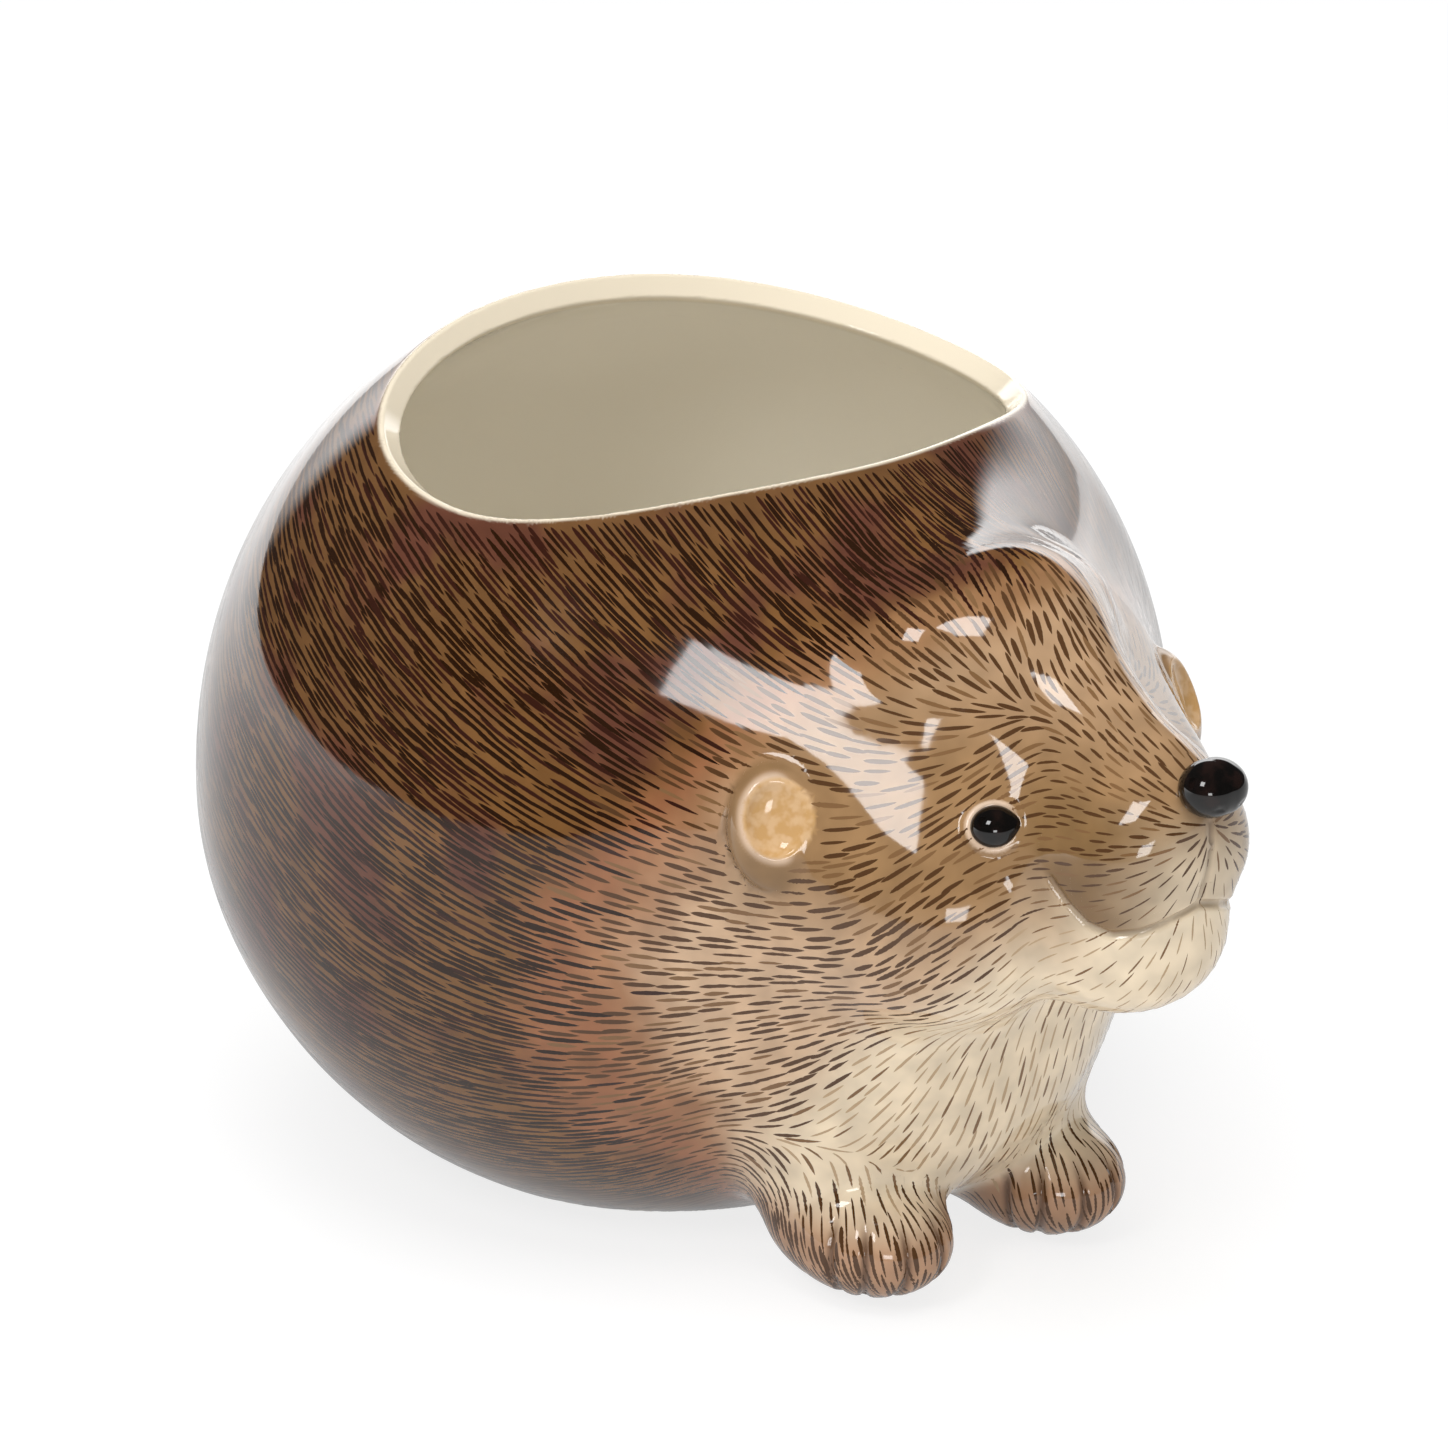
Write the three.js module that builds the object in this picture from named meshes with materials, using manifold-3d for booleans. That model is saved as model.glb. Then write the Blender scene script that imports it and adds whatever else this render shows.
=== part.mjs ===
// Glazed earthenware vase in the shape of a hedgehog. Sizes are in millimetres, +Z is up,
// the nose points along -Y and the flat foot of the body stands on Z = 0.
import * as THREE from "three";
import { mergeVertices } from "three/addons/utils/BufferGeometryUtils.js";
import Module from "manifold-3d";

const wasm = await Module();
wasm.setup();

// Casting
const WALL = 4.5; // wall of the body
const LIP = 2.2; // wall at the mouth
const LIP_RUN = 30; // height over which the wall thins to the lip
const HEAD_WALL = 8; // wall of the head
const FLOOR = 6; // clay over the foot
const JOINT = 0.3; // slip joint between two castings

// Mouth of the vase: a plane that rises toward the rear
const RIM_HEIGHT = 124.8;
const RIM_TILT = 3.5; // degrees
const CROWN = 17.2; // the ball of the body would close this far above the rim

// Body: a ball with its own half axis for each side
const BALL_CENTRE = [0, 2, 60.5];
const BALL_HALF_WIDTH = 80.5;
const BALL_FRONT = 72;
const BALL_REAR = 77.5;
const BALL_TOP = RIM_HEIGHT + CROWN - BALL_CENTRE[2];
const BALL_BOTTOM = 71;
const CHEST_CENTRE = [0, -51, 42];
const CHEST_RADII = [33, 30.4, 35];

// Head: rounded masses that flow into each other
const SKULL_CENTRE = [0, -54, 78];
const SKULL_RADII = [41, 37, 34.5];
const SNOUT_ROOT = [0, -68, 80];
const SNOUT_ROOT_RADIUS = 27;
const SNOUT_TIP = [0, -107, 84.5];
const SNOUT_TIP_RADIUS = 12;
const NAPE_BELOW_RIM = 29.8; // nape and brow keep their place under the mouth
const NAPE_AHEAD = 48;
const NAPE = [0, -NAPE_AHEAD, RIM_HEIGHT - NAPE_BELOW_RIM];
const NAPE_RADIUS = 19;
const BROW_BELOW_RIM = 16.3;
const BROW_AHEAD = 76.5;
const BROW = [0, -BROW_AHEAD, RIM_HEIGHT - BROW_BELOW_RIM];
const BROW_RADIUS = 8;
const BROW_SIDE_OUT = 13; // the brow is a low ledge across the forehead
const BROW_SIDE_BACK = 5.5;
const BROW_SIDE_DROP = 1;
const BROW_SIDE = [BROW_SIDE_OUT, BROW[1] + BROW_SIDE_BACK, BROW[2] - BROW_SIDE_DROP];
const BROW_SIDE_RADIUS = 6.8;
const BRIDGE_END = [0, -113, 91.5];
const BRIDGE_END_RADIUS = 6.5;
const CHEEK_CENTRE = [17, -78, 69];
const CHEEK_RADII = [19, 22, 18];
const LIP_CENTRE = [5.5, -105.8, 82.8];
const LIP_RADII = [10, 12.2, 10.4];
const JAW_CENTRE = [0, -98, 71.2];
const JAW_RADII = [15.8, 21.6, 16];

// Slip joint between body and head: a plane just ahead of the rim
const NECK_AHEAD = 8.3; // from the front of the rim
const NECK_LEAN = 18; // degrees from upright, the lower end further forward

// Lengths over which two masses flow into each other
const FLOW_SNOUT = 16;
const FLOW_BROW = 20;
const FLOW_BROW_SIDE = 8;
const FLOW_BRIDGE = 10;
const FLOW_CHEEK = 14;
const FLOW_LIP = 7;
const FLOW_JAW = 4;
const FLOW_NECK = 20;
const FLOW_CHEST = 14;
const FLOW_HOLLOW = 16;
const FLOW_PAW = 7;

// Small castings
const NOSE_CENTRE = [0, -121.2, 97];
const NOSE_RADII = [5.3, 4.7, 4.3];
const EYE_FROM = [0, -72, 82]; // the eye looks outward from here
const EYE_DIRECTION = [0.62, -0.75, 0.17];
const EYE_RADIUS = 4.2;
const EYE_DEPTH = 3;
const EYE_SINK = 0.5;
const EAR_FROM = [0, -52, 80]; // the ear grows outward from here
const EAR_DIRECTION = [0.886, -0.44, 0.144];
const EAR_FACING = [0.55, -0.75, 0.3];
const EAR_RADIUS = 8.6;
const EAR_THICKNESS = 4.2; // half
const EAR_LIFT = 2.2;
const EAR_SCOOP = 2.6; // depth of the cup
const EAR_BORDER = 1.55; // width of the cup's edge

// Forelegs
const LEG_TOP = [20.5, -53, 40];
const LEG_TOP_RADIUS = 16.5;
const LEG_ANKLE = [17.6, -55.7, 15];
const LEG_ANKLE_RADIUS = 10.5;
const PAW_CENTRE = [17.6, -63.5, 9.2];
const PAW_RADII = [12.2, 16.5, 9.6];

// Steps of the surfaces
const SKIN_AROUND = 48;
const SKIN_ALONG = 44;
const HOLLOW_AROUND = 28;
const HOLLOW_ALONG = 24;
const LEG_AROUND = 22;
const LEG_ALONG = 16;
const EYE_AROUND = 14;
const EYE_ALONG = 10;
const EAR_AROUND = 20;
const EAR_ALONG = 12;
const NOSE_AROUND = 16;
const NOSE_ALONG = 12;
const FRONT_CROWDING = 1.7; // rings of the skin crowd toward the face
const HOLLOW_CROWDING = 1.2;
const CAST_CENTRE = [0, -30, 72];
const REACH = 260;

// Two masses that flow into each other over the length k
function flow(a, b, k) {
  const h = THREE.MathUtils.clamp(0.5 + (0.5 * (b - a)) / k, 0, 1);
  return b * (1 - h) + a * h - k * h * (1 - h);
}

// Distance to an ellipsoid, negative inside
function ellipsoid(p, centre, radii) {
  const x = p.x - centre[0];
  const y = p.y - centre[1];
  const z = p.z - centre[2];
  const k0 = Math.hypot(x / radii[0], y / radii[1], z / radii[2]);
  const k1 = Math.hypot(x / radii[0] ** 2, y / radii[1] ** 2, z / radii[2] ** 2);
  return k1 < 1e-9 ? -Math.min(...radii) : (k0 * (k0 - 1)) / k1;
}

// Distance to a rod with round ends of two radii
function taper(p, from, fromRadius, to, toRadius) {
  const a = new THREE.Vector3(...from);
  const b = new THREE.Vector3(...to);
  const axis = b.clone().sub(a);
  const rel = p.clone().sub(a);
  const h = THREE.MathUtils.clamp(rel.dot(axis) / axis.lengthSq(), 0, 1);
  return rel.addScaledVector(axis, -h).length() - (fromRadius + (toRadius - fromRadius) * h);
}

function mirrored(p) {
  return new THREE.Vector3(Math.abs(p.x), p.y, p.z);
}

function ball(p) {
  const radii = [
    BALL_HALF_WIDTH,
    p.y < BALL_CENTRE[1] ? BALL_FRONT : BALL_REAR,
    p.z < BALL_CENTRE[2] ? BALL_BOTTOM : BALL_TOP,
  ];
  return ellipsoid(p, BALL_CENTRE, radii);
}

function face(point) {
  const p = mirrored(point);
  let d = ellipsoid(p, SKULL_CENTRE, SKULL_RADII);
  d = flow(d, taper(p, SNOUT_ROOT, SNOUT_ROOT_RADIUS, SNOUT_TIP, SNOUT_TIP_RADIUS), FLOW_SNOUT);
  d = flow(d, taper(p, NAPE, NAPE_RADIUS, BROW, BROW_RADIUS), FLOW_BROW);
  d = flow(d, taper(p, BROW, BROW_RADIUS, BROW_SIDE, BROW_SIDE_RADIUS), FLOW_BROW_SIDE);
  d = flow(d, taper(p, BROW, BROW_RADIUS, BRIDGE_END, BRIDGE_END_RADIUS), FLOW_BRIDGE);
  d = flow(d, ellipsoid(p, CHEEK_CENTRE, CHEEK_RADII), FLOW_CHEEK);
  d = flow(d, ellipsoid(p, LIP_CENTRE, LIP_RADII), FLOW_LIP);
  return flow(d, ellipsoid(p, JAW_CENTRE, JAW_RADII), FLOW_JAW);
}

// Outside of body and head together
function skin(p) {
  const joined = flow(ball(p), face(p), FLOW_NECK);
  return flow(joined, ellipsoid(p, CHEST_CENTRE, CHEST_RADII), FLOW_CHEST);
}

// Inside of the casting
function hollow(p) {
  const thinning = THREE.MathUtils.smoothstep(p.z, RIM_HEIGHT - LIP_RUN, RIM_HEIGHT);
  const wall = THREE.MathUtils.lerp(WALL, LIP, thinning);
  return flow(ball(p) + wall, face(p) + HEAD_WALL, FLOW_HOLLOW);
}

function foreleg(p) {
  const leg = taper(p, LEG_TOP, LEG_TOP_RADIUS, LEG_ANKLE, LEG_ANKLE_RADIUS);
  return flow(leg, ellipsoid(p, PAW_CENTRE, PAW_RADII), FLOW_PAW);
}

// Distance along a direction from an inner point to the surface of a field
function reachOf(field, centre, direction) {
  let inner = 0;
  let outer = REACH;
  for (let i = 0; i < 40; i++) {
    const middle = (inner + outer) / 2;
    const p = centre.clone().addScaledVector(direction, middle);
    if (field(p) < 0) {
      inner = middle;
    } else {
      outer = middle;
    }
  }
  return inner;
}

// Closed surface of a field, cast outward from an inner point
function castField(field, centre, around, along, crowding) {
  const middle = new THREE.Vector3(...centre);
  const sphere = new THREE.SphereGeometry(1, around, along);
  const at = sphere.getAttribute("position");
  const direction = new THREE.Vector3();
  for (let i = 0; i < at.count; i++) {
    direction.fromBufferAttribute(at, i);
    const fromFront = Math.acos(THREE.MathUtils.clamp(-direction.y, -1, 1)) / Math.PI;
    const polar = Math.PI * fromFront ** crowding;
    const turn = Math.atan2(direction.z, direction.x);
    direction.set(Math.sin(polar) * Math.cos(turn), -Math.cos(polar), Math.sin(polar) * Math.sin(turn));
    const p = middle.clone().addScaledVector(direction, reachOf(field, middle, direction));
    at.setXYZ(i, p.x, p.y, p.z);
  }
  return sphere;
}

function solid(geometry) {
  const bare = geometry.clone();
  bare.deleteAttribute("normal");
  bare.deleteAttribute("uv");
  const welded = mergeVertices(bare, 1e-4);
  const vertProperties = Float32Array.from(welded.getAttribute("position").array);
  const triVerts = Uint32Array.from(welded.getIndex().array);
  return new wasm.Manifold(new wasm.Mesh({ numProp: 3, vertProperties, triVerts }));
}

// Half of space above a plane through a point
function halfSpace(point, normal, offset) {
  const up = new THREE.Vector3(...normal).normalize();
  const box = new THREE.BoxGeometry(2 * REACH, 2 * REACH, 2 * REACH);
  box.translate(0, 0, REACH + offset);
  box.applyQuaternion(new THREE.Quaternion().setFromUnitVectors(new THREE.Vector3(0, 0, 1), up));
  box.translate(...point);
  return solid(box);
}

// Ellipsoid whose short axis lies along a direction
function button(centre, axis, radius, depth, around, along) {
  const sphere = new THREE.SphereGeometry(1, around, along);
  sphere.scale(radius, depth, radius);
  const up = new THREE.Vector3(0, 1, 0);
  sphere.applyQuaternion(new THREE.Quaternion().setFromUnitVectors(up, axis));
  sphere.translate(centre.x, centre.y, centre.z);
  return solid(sphere);
}

// Place on the outside, with its outward normal, for one side of the animal
function seat(from, direction, side) {
  const start = new THREE.Vector3(...from);
  const ray = new THREE.Vector3(side * direction[0], direction[1], direction[2]).normalize();
  const point = start.clone().addScaledVector(ray, reachOf(skin, start, ray));
  const step = 0.2;
  const slope = [0, 1, 2].map((k) => {
    const ahead = point.clone().setComponent(k, point.getComponent(k) + step);
    const behind = point.clone().setComponent(k, point.getComponent(k) - step);
    return skin(ahead) - skin(behind);
  });
  return { point, normal: new THREE.Vector3(...slope).normalize() };
}

function mesh(name, manifold, colour, roughness) {
  const made = manifold.getMesh();
  const geometry = new THREE.BufferGeometry();
  geometry.setAttribute("position", new THREE.BufferAttribute(made.vertProperties, 3));
  geometry.setIndex(new THREE.BufferAttribute(made.triVerts, 1));
  geometry.computeVertexNormals();
  const material = new THREE.MeshStandardMaterial({ color: colour, roughness, metalness: 0 });
  const result = new THREE.Mesh(geometry, material);
  result.name = name;
  return result;
}

const outside = solid(castField(skin, CAST_CENTRE, SKIN_AROUND, SKIN_ALONG, FRONT_CROWDING));
const clearance = solid(
  castField((p) => skin(p) - JOINT, CAST_CENTRE, SKIN_AROUND, SKIN_ALONG, FRONT_CROWDING),
);
const inside = solid(castField(hollow, CAST_CENTRE, HOLLOW_AROUND, HOLLOW_ALONG, HOLLOW_CROWDING));

const ground = halfSpace([0, 0, 0], [0, 0, 1], 0);
const aboveFloor = halfSpace([0, 0, FLOOR], [0, 0, 1], 0);
const tilt = THREE.MathUtils.degToRad(RIM_TILT);
const aboveRim = halfSpace([0, 0, RIM_HEIGHT], [0, -Math.sin(tilt), Math.cos(tilt)], 0);
const lean = THREE.MathUtils.degToRad(NECK_LEAN);
const forward = [0, -Math.cos(lean), Math.sin(lean)];
const alongRim = new THREE.Vector3(0, -Math.cos(tilt), -Math.sin(tilt));
const rimMiddle = new THREE.Vector3(0, 0, RIM_HEIGHT);
const neck = rimMiddle.clone().addScaledVector(alongRim, reachOf(ball, rimMiddle, alongRim) + NECK_AHEAD);
const aheadOfNeck = halfSpace(neck.toArray(), forward, JOINT / 2);
const fromNeck = halfSpace(neck.toArray(), forward, -JOINT / 2);

const vessel = outside.intersect(ground).subtract(inside.intersect(aboveFloor));
const body = vessel.subtract(fromNeck).subtract(aboveRim);
let head = vessel.intersect(aheadOfNeck);

const noseMiddle = new THREE.Vector3(...NOSE_CENTRE);
function noseForm(extra) {
  const sphere = new THREE.SphereGeometry(1, NOSE_AROUND, NOSE_ALONG);
  sphere.scale(NOSE_RADII[0] + extra, NOSE_RADII[1] + extra, NOSE_RADII[2] + extra);
  sphere.translate(noseMiddle.x, noseMiddle.y, noseMiddle.z);
  return solid(sphere);
}
head = head.subtract(noseForm(JOINT));

const group = new THREE.Group();
group.name = "hedgehog_vase";
group.add(mesh("nose", noseForm(0), 0x14100e, 0.08));

for (const [word, side] of [["right", -1], ["left", 1]]) {
  const eye = seat(EYE_FROM, EYE_DIRECTION, side);
  const eyeMiddle = eye.point.clone().addScaledVector(eye.normal, -EYE_SINK);
  const eyeForm = (extra) =>
    button(eyeMiddle, eye.normal, EYE_RADIUS + extra, EYE_DEPTH + extra, EYE_AROUND, EYE_ALONG);
  head = head.subtract(eyeForm(JOINT));
  group.add(mesh(`${word}_eye`, eyeForm(0), 0x100c0b, 0.05));

  const ear = seat(EAR_FROM, EAR_DIRECTION, side);
  const facing = new THREE.Vector3(side * EAR_FACING[0], EAR_FACING[1], EAR_FACING[2]).normalize();
  const earMiddle = ear.point.clone().addScaledVector(ear.normal, EAR_LIFT);
  const disc = button(earMiddle, facing, EAR_RADIUS, EAR_THICKNESS, EAR_AROUND, EAR_ALONG);
  const scoopMiddle = earMiddle.clone().addScaledVector(facing, EAR_THICKNESS);
  const scoop = button(scoopMiddle, facing, EAR_RADIUS - EAR_BORDER, EAR_SCOOP, EAR_AROUND, EAR_ALONG);
  const earShape = disc.subtract(scoop).subtract(clearance);
  group.add(mesh(`${word}_ear`, earShape, 0xb08a55, 0.15));

  const mirror = (p) => new THREE.Vector3(side * p.x, p.y, p.z);
  const legMiddle = [side * LEG_ANKLE[0], (LEG_ANKLE[1] + PAW_CENTRE[1]) / 2, LEG_ANKLE[2]];
  const legForm = solid(castField((p) => foreleg(mirror(p)), legMiddle, LEG_AROUND, LEG_ALONG, 1));
  const leg = legForm.intersect(ground).subtract(clearance);
  group.add(mesh(`${word}_foreleg`, leg, 0xa58a68, 0.12));
}

group.add(mesh("head", head, 0xa98f6b, 0.12));
group.add(mesh("body_shell", body, 0x5b4030, 0.12));

export default group;
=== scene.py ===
"""Hedgehog vase of hand-painted, clear-glazed earthenware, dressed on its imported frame.

The skin follows the same rounded masses as the solids, with the lids, toes and mouth worked in, and
carries the painted fur as low ridges of colour under the glaze.
"""

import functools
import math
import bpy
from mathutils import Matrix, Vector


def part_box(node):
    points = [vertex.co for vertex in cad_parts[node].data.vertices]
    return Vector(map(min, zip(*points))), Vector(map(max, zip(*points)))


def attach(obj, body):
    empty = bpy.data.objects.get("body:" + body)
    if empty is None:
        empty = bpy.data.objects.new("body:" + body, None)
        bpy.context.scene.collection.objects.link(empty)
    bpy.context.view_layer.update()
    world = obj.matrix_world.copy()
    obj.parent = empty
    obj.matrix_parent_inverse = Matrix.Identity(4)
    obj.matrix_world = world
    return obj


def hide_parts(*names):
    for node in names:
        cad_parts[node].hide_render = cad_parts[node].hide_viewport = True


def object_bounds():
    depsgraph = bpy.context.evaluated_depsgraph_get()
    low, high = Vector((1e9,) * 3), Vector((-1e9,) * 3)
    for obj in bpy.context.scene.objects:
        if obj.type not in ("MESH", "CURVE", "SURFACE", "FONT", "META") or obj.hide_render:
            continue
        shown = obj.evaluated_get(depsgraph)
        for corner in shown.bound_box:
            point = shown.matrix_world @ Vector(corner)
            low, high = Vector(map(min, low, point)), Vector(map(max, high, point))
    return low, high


bl_info = {
    "name": "Hedgehog vase",
    "version": (1, 0, 0),
    "blender": (4, 5, 0),
    "location": "View3D > Sidebar > Vase",
    "description": "Builds the moulded, painted and glazed skin of a hedgehog vase on its frame",
    "category": "Object",
}

import bpy
import numpy as np
from mathutils import Vector, kdtree

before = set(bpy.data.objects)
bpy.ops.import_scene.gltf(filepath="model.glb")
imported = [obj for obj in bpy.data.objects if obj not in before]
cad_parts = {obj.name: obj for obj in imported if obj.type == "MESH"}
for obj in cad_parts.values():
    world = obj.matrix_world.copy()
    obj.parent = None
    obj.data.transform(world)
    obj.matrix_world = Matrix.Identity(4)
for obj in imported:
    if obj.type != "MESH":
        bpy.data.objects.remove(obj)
CAD_LOW, CAD_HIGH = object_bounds()

MM = 0.001

# Casting, in millimetres as all sizes below
WALL = 4.5
HEAD_WALL = 8
FLOOR = 6

# Mouth of the vase: its edge rises to the rear, lifts a little at the front, dips at both sides and is
# bevelled to the inside
RIM_HEIGHT = 125.6
RIM_RISE = 0.105
RIM_DIP = 4.1
RIM_RADIUS = 52
RIM_FRONT = (10, 55)
RIM_FRONT_LIFT = 2.5
LIP_SLOPE = 0.75
# Depth of the painted light band just inside the lip
COLLAR = 5
CROWN = 142

# Body, a ball whose upper half is a little fuller than an ellipsoid
BALL_CENTRE = np.array([0, 2, 60.5])
BALL_HALF_WIDTH = 79.4
BALL_FRONT = 72
BALL_REAR = 77.5
BALL_FULLNESS = 2.07
BALL_TOP = CROWN - BALL_CENTRE[2]
BALL_BOTTOM = 71
CHEST = np.array([0, -51, 42])
CHEST_RADII = np.array([33, 30.4, 35])

# Head
SKULL = np.array([0, -54, 78])
SKULL_RADII = np.array([41, 37, 34.5])
SNOUT_ROOT = np.array([0, -68, 80])
SNOUT_ROOT_RADIUS = 27
SNOUT_TIP = np.array([0, -107, 84.5])
SNOUT_TIP_RADIUS = 12
NAPE = np.array([0, -48, 95])
NAPE_RADIUS = 19
BROW = np.array([0, -76.5, 108.5])
BROW_RADIUS = 8
BROW_SIDE = np.array([13, -71, 107.5])
BROW_SIDE_RADIUS = 6.8
BRIDGE_END = np.array([0, -113, 91.5])
BRIDGE_END_RADIUS = 6.5
CHEEK = np.array([17, -78, 69])
CHEEK_RADII = np.array([19, 22, 18])
UPPER_LIP = np.array([5.5, -105.8, 82.8])
UPPER_LIP_RADII = np.array([10, 12.2, 10.4])
JAW = np.array([0, -98, 71.2])
JAW_RADII = np.array([15.8, 21.6, 16])
NECK = np.array([0, -53.3, 121.5])
NECK_LEAN = math.radians(18)

# Lengths over which two masses flow into each other
FLOW_SNOUT = 16
FLOW_BROW = 20
FLOW_BROW_SIDE = 8
FLOW_BRIDGE = 10
FLOW_CHEEK = 14
FLOW_LIP = 7
FLOW_JAW = 4
FLOW_NECK = 20
FLOW_CHEST = 14
FLOW_HOLLOW = 16
FLOW_PAW = 7
FLOW_EAR = 2.4
FLOW_LID = 1.2
FLOW_EYE_CORNER = 1.6
FLOW_NOSTRIL = 0.5
FLOW_GROOVE = 0.9
FOOT_ROUND = 1.4
FLOOR_ROUND = 6
WALL_ROUND = 0.8

# Eyes, nostrils and ears. An eye is an almond, so its lid is narrower across than along
EYE_FROM = np.array([0, -72, 82])
EYE_DIRECTION = np.array([0.62, -0.75, 0.17])
EYE_RADII = np.array([3.3, 3.75, 3.0])
EYE_SINK = 0.5
EYE_CORNER = np.array([0, 0.85 * EYE_RADII[1], 0.2])
EYE_CORNER_RADII = np.array([0.9, 1.0, 1.2])
LID_RADIUS = 3.85
LID_NARROWING = 0.88
NOSTRIL_RADII = np.array([0.9, 0.7, 0.5])
EAR_FROM = np.array([0, -52, 80])
EAR_DIRECTION = np.array([0.918, -0.385, 0.087])
EAR_FACING = np.array([0.55, -0.75, 0.3])
EAR_RADII = np.array([6.4, 8.9, 3.6])
EAR_LIFT = -0.5
EAR_SCOOP_PLACE = np.array([-1.0, 1.8, 3.4])
EAR_SCOOP_RADII = np.array([5.0, 5.9, 2.6])

# Forelegs. Grooves part the toes on the front of a paw
LEG_TOP = np.array([20.5, -53, 40])
LEG_TOP_RADIUS = 16.5
LEG_ANKLE = np.array([17.6, -55.7, 15])
LEG_ANKLE_RADIUS = 10.5
PAW = np.array([17.6, -64, 9.2])
PAW_RADII = np.array([12.2, 16.2, 9.6])
TOE_GROOVES = [math.radians(angle) for angle in (-62, -37, -12, 13, 38, 63)]
TOE_GROOVE_WIDTH = 0.7
TOE_GROOVE_DEPTH = 0.6
TOE_GROOVE_START = (4, 9)
TOE_TOP = 16.5
TOE_FADE = 5

# Mouth line from the corner to the middle, and the furrow under the nose
SMILE = [
    (16.6, -105, 81.3),
    (15.5, -107.2, 78.2),
    (13.9, -110, 75.3),
    (12, -113, 74),
    (8.9, -116.2, 74.7),
    (4.9, -118.6, 76.5),
    (0, -119.2, 78),
]
FURROW = [(0, -119, 91), (0, -119.5, 85), (0, -119.2, 78)]
MUZZLE_REAR = (0, -94, 91)

# Places of the paint. The front edge of the coat leans forward and sweeps to the brow
CHIN = np.array([0.0, -113, 64])
BREAST = np.array([9.0, -68, 24])
COAT_EDGE_AHEAD = 38
COAT_EDGE_FOOT = 35
COAT_EDGE_LEAN = 0.2
COAT_EDGE_BEND = 85
COAT_EDGE_SWEEP = 0.02
COAT_SWAY = 13.0
COAT_SPAN = 70.0

# Places over which a wash fades in, from none to full
OLIVE_AHEAD = (54, 74)
OLIVE_ABOVE = (60, 80)
OLIVE_THINS = (92, 110)
CREAM_ROUND = (33, 20)
CHEEK_BEHIND = (-114, -103)
CHEEK_ABOVE = (62, 76)
MUZZLE_AHEAD = (90, 103)
MUZZLE_BELOW = (97, 90)
MUZZLE_ASIDE = (4, 12)
MUZZLE_FRONT = (121, 110)
MOUTH_CORNER = (107, 97)
PAW_BELOW = (19, 10)
# Painted shade in the mouth line, the furrow and the toe grooves fades in over this distance
CREASE_SHADE_NEAR = (0.8, 0.2)

# Lie of the painted fur: toward brow and nose, down and forward on the coat, down at the rear
BROW_GOAL = np.array([0, -80, 106])
NOSE_GOAL = np.array([0, -123, 92])
NOSE_LIE_AHEAD = (88, 108)
COAT_LIE = np.array([0.31, -1.03, -1.2])
COAT_LIE_BEHIND = (-108, 64)
REAR_LIE = np.array([0.2, -0.35, -1.0])
REAR_LIE_BEHIND = (25, 60)
LEG_LIE = np.array([0, -0.35, -1])
LEG_LIE_BELOW = (34, 22)
PARTING = 6
STROKE_PROFILE = np.array([0, 0.7, 0.95, 1.0, 1.0, 0.95, 0.8, 0.5, 0])
STROKE_SUNK = 0.02
STROKE_BELOW_RIM = -0.9
STROKE_SPREAD = (0.75, 1.25)
STROKE_SEED = 11
CANDIDATES = 120000
TONES = ("umber", "plum", "sepia", "tan", "pale")
UMBER, PLUM, SEPIA, TAN, PALE = range(len(TONES))

# Where the strokes change from face to coat, chest, snout and paw, and what they keep clear of
FUR_COAT = (-10, 8)
FUR_CHEST = (30, 16)
FUR_SNOUT = (88, 104)
FUR_PAW = (22, 12)
CLEAR_OF_INSIDE = 3.5
CLEAR_OF_FOOT = 1.2
CLEAR_OF_RIM = 1.5
CLEAR_OF_LID = 0.8
CLEAR_OF_EAR = 1.5
CLEAR_OF_SCOOP = 2.8
CLEAR_OF_NOSE = 1.2
CLEAR_OF_MOUTH = 1.2

# Glaze: patches by their size in millimetres and their detail
PATCHES = {"wide": (26, 3), "plum": (19, 2), "small": (6, 2), "ripple": (4, 1), "fine": (2, 2)}
BLACK_PATCH = 3
GLAZE_IOR = 1.52

# Photograph's camera
IMAGE_SIDE = 1448
CAMERA_AZIMUTH = math.radians(-38)
CAMERA_ELEVATION = math.radians(22)
CAMERA_DISTANCE = 1.0
CAMERA_TARGET = Vector((0, -0.00635, 0.06785))
CAMERA_FOCUS_PIXELS = 6260
CAMERA_DROP_PIXELS = 16
SENSOR = 36

# Studio: strengths of its light, and where the glaze mirrors the backdrop and the paper
AMBIENT = 0.56
DARK_ROOM = 0.06
BACKDROP = 4.6
BACKDROP_FOOT = 1.2
BACKDROP_RISE = 0.35
BACKDROP_EDGE = (0.76, 0.86)
BACKDROP_TOP = (0.30, 0.42)
# Painted glow of the paper: the levels that the glaze mirrors, where they are brightest, and the level the
# camera sees
PAPER_DIM = 0.5
PAPER_BRIGHT = 1.75
PAPER_GLOW_TOWARD = (-0.05, 0.9)
PAPER_LEFTWARD = 0.6
PAPER_GLOW = 0.8
PAPER_WHITE = (0.88, 0.92)
PAPER_FIBRE = 1.5
PAPER_HALF = 4.0
PAPER_DROP = 0.2

# Lamps: azimuth, elevation, distance, width, height, power, and whether the glaze mirrors them
LAMPS = {
    "window_softbox": (-70, 43, 1.1, 0.26, 0.30, 2.6, True),
    "low_softbox": (-37, 7, 1.15, 0.24, 0.18, 1.2, True),
    "overhead_bounce": (-60, 80, 1.2, 0.9, 0.9, 11.0, False),
}
FLAG_BESIDE = Vector((-44.6, -49.7, 104.3)) * MM
FLAG_TOWARD = Vector((-0.313, 0.949, 0.034))
FLAG_OFF = 0.1
FLAG_SIDE = 0.11

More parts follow.
